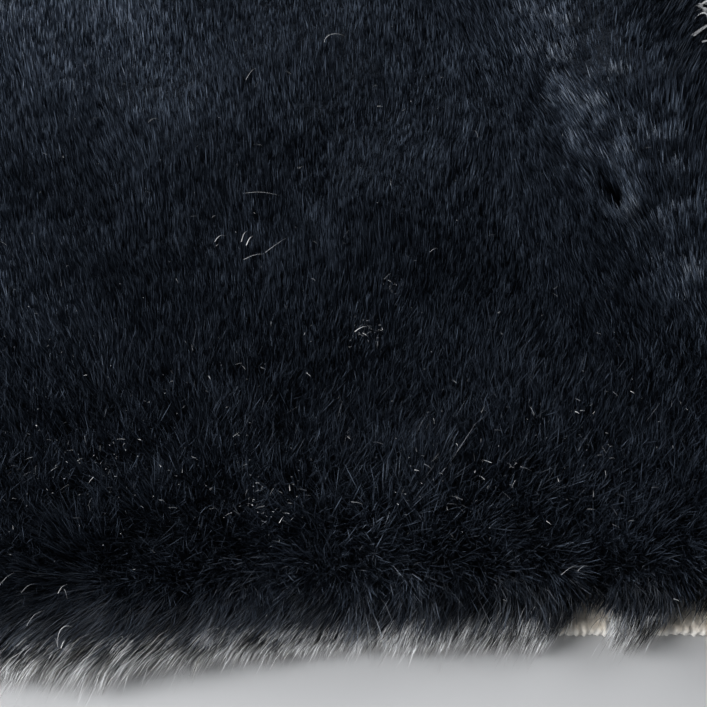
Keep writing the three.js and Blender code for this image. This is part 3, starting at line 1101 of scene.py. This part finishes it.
class RUG_OT_fur(bpy.types.Operator):
    """Makes the fibres of the pile, in bands along the rug, finest where they are looked at"""

    bl_idname = "rug.fur"
    bl_label = "Fur"

    def execute(self, context):
        settings = context.scene.rug_pile
        rng = np.random.default_rng(7)
        x, y = sow(rng, lambda px, py: self.density(settings, px, py), settings.shown_density)
        kept = y + RUG_DEPTH / 2 > BARE_DEPTH * bare(x)
        kept |= rng.random(len(x)) < STRAY_SHARE * (y + RUG_DEPTH / 2 > PILE_INSET)
        x, y = x[kept], y[kept]
        inside = rim_distance(*round_corners(x, y))[0]
        fringe = inside < FRINGE_BAND
        shoulder = ~fringe & (inside < SHOULDER_BAND)
        field = ~fringe & ~shoulder
        dice = rng.random(len(x))
        # Each finish paints shade on the fibres' roots and shafts, darker on the two rim finishes,
        # and paints light on its share of the rim's tips.
        plain, thinner, thin = (
            acrylic_fibre(name, settings.color, settings.lit_tip_color, share, shaft)
            for name, share, shaft in (
                ("dyed_acrylic_fibre", 0.0, "#d8d8d8"),
                ("dyed_acrylic_painted_lit_tips", 0.08, "#888888"),
                ("dyed_acrylic_thin_painted_lit_tips", 1.0, "#888888"),
            )
        )
        # The chosen roots of each layer, its share of the fibres' width, and the stations along
        # a fibre between which its ribbon is drawn.
        whole = (0.0, 0.34, 0.68, 1.0)
        for name, material, chosen, wide, stations in (
            ("fur_fringe", thin, fringe & (dice < FRINGE_SHARE), 0.6, whole),
            ("fur_shoulder", thinner, shoulder & (dice < SHOULDER_SHARE), 0.9, whole),
            ("fur_guard", plain, field & (dice < GUARD_SHARE), 1.0, (0.3, 0.66, 1.0)),
            ("fur_tips", plain, field & (dice >= GUARD_SHARE), 1.6, (0.42, 1.0)),
        ):
            self.bands(name, material, rng, x, y, chosen, wide, stations)
        return {"FINISHED"}

    def density(self, settings, x, y):
        """Fibres on a square millimetre: the shown density, which falls to two fifths towards
        the back, where they are drawn wider, and the far density beyond the shown part, more at
        the rim."""
        away = np.clip((y + RUG_DEPTH / 2) / SHOWN_DEPTH, 0, 1)
        near = settings.shown_density * (1 - BACK_THINNER * away)
        rim = rim_distance(x, y)[0] < SHOULDER_BAND
        far = settings.far_density * (1 + (RIM_FAR_DENSITY - 1) * rim)
        return far + (near - far) * shown(x, y)

    def bands(self, name, material, rng, x, y, chosen, wide, stations):
        """Cuts the chosen roots into bands of equal numbers along x and makes a piece of
        each. A few fibres are long and thin."""
        settings = bpy.context.scene.rug_pile
        stations = np.array(stations)
        x, y = x[chosen], y[chosen]
        count = math.ceil(len(x) * (2 * len(stations) - 3) / MOST_TRIANGLES)
        order = np.argsort(x, kind="stable")
        for number, members in enumerate(np.array_split(order, count), 1):
            bx, by = x[members], y[members]
            long = rng.random(len(bx)) < LONG_SHARE
            longer = FRINGE_LONGER if name == "fur_fringe" else LONGER
            length = settings.length * np.where(long, longer, 1.0)
            paths, tones = fur_paths(rng, bx, by, stations, length)
            away = np.clip((by + RUG_DEPTH / 2) / SHOWN_DEPTH, 0, 1)
            near = settings.shown_width * (1 + BACK_WIDER * away**BACK_WIDER_POWER)
            width = settings.far_width + (near - settings.far_width) * shown(bx, by)
            width *= wide * (WIDTH_LEAST + WIDTH_SPREAD * rng.random(len(bx)))
            width *= np.where(long, LONG_WIDTH, 1.0)
            roll = ROLL * rng.standard_normal((len(bx), 3)) + np.array([0, 0, 1])
            add_ribbons(f"{name}_{number:02d}", material, paths, width, roll, tones, stations)


class RUG_OT_lint(bpy.types.Operator):
    """Makes the pale lint on the pile: loose threads, fine flecks that are in part painted
    glints, and a frayed tuft
    """

    bl_idname = "rug.lint"
    bl_label = "Lint"

    def execute(self, context):
        settings = context.scene.rug_lint
        rng = np.random.default_rng(17)
        material = pale_lint_and_painted_glints(settings.color)
        self.threads("lint_threads", material, np.array(THREADS), 0.8 * MM)
        self.threads("lint_tuft", material, self.tuft(rng), 2.5 * MM)
        self.flecks("lint_flecks_and_painted_glints", material, rng, settings.flecks)
        return {"FINISHED"}

    def threads(self, name, material, rows, rise):
        """Threads along circular arcs, from their first point, turn, length and bend. They rise
        over the pile by a half sine wave."""
        stations = np.linspace(0, 1, 10)
        x, y, length, turn, bend, thickness, tones = rows.T
        angle = np.radians(turn[:, None] + bend[:, None] * (stations[None, :] - 0.5))
        step = length[:, None] * MM / (len(stations) - 1)
        path_x = x[:, None] * MM + np.cumsum(step * np.cos(angle), 1)
        path_y = y[:, None] * MM + np.cumsum(step * np.sin(angle), 1)
        path_z = crest(path_x, path_y, self.pile_length()) + rise * np.sin(np.pi * stations)
        paths = np.stack([path_x, path_y, path_z], -1)
        roll = np.tile([0.0, 0.3, 1.0], (len(rows), 1))
        add_ribbons(name, material, paths, thickness * MM, roll, tones, stations)

    def tuft(self, rng):
        """Rows of threads that start close together and fan out to the right."""
        x, y, spread, length, thickness, count = TUFT
        start = spread * rng.standard_normal((2, count))
        return np.stack(
            [
                x + start[0],
                y + start[1],
                length * rng.uniform(0.6, 1.2, count),
                rng.uniform(-75, 25, count),
                rng.uniform(-30, 30, count),
                thickness * rng.uniform(0.6, 1.1, count),
                rng.uniform(0.2, 0.9, count),
            ],
            -1,
        )

    def flecks(self, name, material, rng, count):
        """Short straight flecks of lint and dust, in part painted glints: some anywhere on the rug
        and the rest in patches. They lie level or nearly so, at and just under the tips."""
        places = [
            np.stack(
                [
                    rng.uniform(-0.48, 0.48, count) * RUG_LENGTH,
                    rng.uniform(-0.97, 0.97, count) * RUG_DEPTH / 2,
                ]
            )
        ]
        for x, y, radius, number in FLECK_PATCHES:
            middle = np.array([[x], [y]])
            places.append((middle + 0.6 * radius * rng.standard_normal((2, number))) * MM)
        x, y = np.concatenate(places, 1)
        stations = np.array([0.0, 0.5, 1.0])
        several = len(x)
        length = (FLECK_LENGTH + FLECK_LENGTH_SPREAD * rng.random(several) ** 4) * MM
        sink = np.where(np.arange(several) < count, FLECK_SINK, PATCH_SINK)
        turn = rng.uniform(0, 2 * np.pi, several)
        start_z = crest(x, y, self.pile_length())
        start_z += (2 * rng.random(several) - sink) * MM
        way = np.stack([np.cos(turn), np.sin(turn), rng.uniform(-0.3, 0.3, several)], -1)
        start = np.stack([x, y, start_z], -1)
        paths = start[:, None, :] + (length[:, None] * stations)[:, :, None] * way[:, None, :]
        paths[:, 1, 2] += 0.1 * length
        roll = rng.standard_normal((several, 3)) + np.array([0, 0, 1])
        thickness = FLECK_THICKNESS + FLECK_THICKNESS_SPREAD * rng.random(several) ** 2
        tones = rng.random(several) ** 2
        add_ribbons(name, material, paths, thickness * MM, roll, tones, stations)

    def pile_length(self):
        """The fibres' length, from the pile's settings."""
        return bpy.context.scene.rug_pile.length


class RUG_OT_stage(bpy.types.Operator):
    """Makes the pale floor, the soft lights and the camera at the photograph's angle"""

    bl_idname = "rug.stage"
    bl_label = "Stage"

    def execute(self, context):
        settings = context.scene.rug_stage
        scene = context.scene
        half = 3.0
        corners = np.array([(-half, -half, 0), (half, -half, 0), (half, half, 0), (-half, half, 0)])
        floor = new_mesh("floor", corners, np.array([(0, 1, 2, 3)]))
        floor.data.materials.append(painted_floor(settings.floor_color))

        world = bpy.data.worlds.new("soft_room")
        world.use_nodes = True
        sky = world.node_tree.nodes["Background"]
        sky.inputs["Color"].default_value = linear("#e4e9f0")
        sky.inputs["Strength"].default_value = 0.12
        scene.world = world

        self.lamp("window", (-0.7, -0.35, 0.3), (0, -0.1, 0), 0.6, 12.5, "#ffffff")
        self.lamp("room", (1.1, 0.8, 0.9), (0, -0.1, 0), 1.0, 13, "#ffffff")

        target = Vector((0.0, -132.4 * MM, 12 * MM))
        angle = settings.elevation
        back = Vector((0.0, -math.cos(angle), math.sin(angle)))
        camera_data = bpy.data.cameras.new("camera")
        camera_data.lens = settings.lens
        camera_data.sensor_width = 36.0
        camera_data.clip_start = 0.01
        camera = bpy.data.objects.new("camera", camera_data)
        camera.location = target + settings.distance * back
        camera.rotation_euler = (-back).to_track_quat("-Z", "Y").to_euler()
        scene.collection.objects.link(camera)
        scene.camera = camera

        scene.view_settings.view_transform = "Standard"
        scene.cycles.use_denoising = True
        return {"FINISHED"}

    def lamp(self, name, place, aim, size, power, color):
        """A square soft light at a place, turned to the aim."""
        data = bpy.data.lights.new(name, "AREA")
        data.shape = "SQUARE"
        data.size = size
        data.energy = power
        data.color = linear(color)[:3]
        lamp = bpy.data.objects.new(name, data)
        lamp.location = place
        toward = Vector(aim) - Vector(place)
        lamp.rotation_euler = toward.to_track_quat("-Z", "Y").to_euler()
        bpy.context.scene.collection.objects.link(lamp)


OPERATORS = (
    RUG_OT_ground_cloth,
    RUG_OT_underfur,
    RUG_OT_fur,
    RUG_OT_lint,
    RUG_OT_stage,
)
SETTINGS = {
    "rug_cloth": ClothSettings,
    "rug_pile": PileSettings,
    "rug_lint": LintSettings,
    "rug_stage": StageSettings,
}


class RUG_PT_panel(bpy.types.Panel):
    """Lists the rug's pieces and their settings"""

    bl_idname = "RUG_PT_panel"
    bl_label = "Faux Fur Rug"
    bl_space_type = "VIEW_3D"
    bl_region_type = "UI"
    bl_category = "Rug"

    def draw(self, context):
        for name, group in SETTINGS.items():
            settings = getattr(context.scene, name)
            for key in group.__annotations__:
                self.layout.prop(settings, key)
        for operator in OPERATORS:
            self.layout.operator(operator.bl_idname)


def register():
    for group in SETTINGS.values():
        bpy.utils.register_class(group)
    for operator in OPERATORS:
        bpy.utils.register_class(operator)
    bpy.utils.register_class(RUG_PT_panel)
    for name, group in SETTINGS.items():
        setattr(bpy.types.Scene, name, bpy.props.PointerProperty(type=group))


def unregister():
    for name in SETTINGS:
        delattr(bpy.types.Scene, name)
    bpy.utils.unregister_class(RUG_PT_panel)
    for operator in reversed(OPERATORS):
        bpy.utils.unregister_class(operator)
    for group in reversed(SETTINGS.values()):
        bpy.utils.unregister_class(group)


def main():
    register()
    bpy.ops.rug.stage()
    bpy.ops.rug.ground_cloth()
    bpy.ops.rug.underfur()
    bpy.ops.rug.fur()
    bpy.ops.rug.lint()


if __name__ == "__main__":
    main()
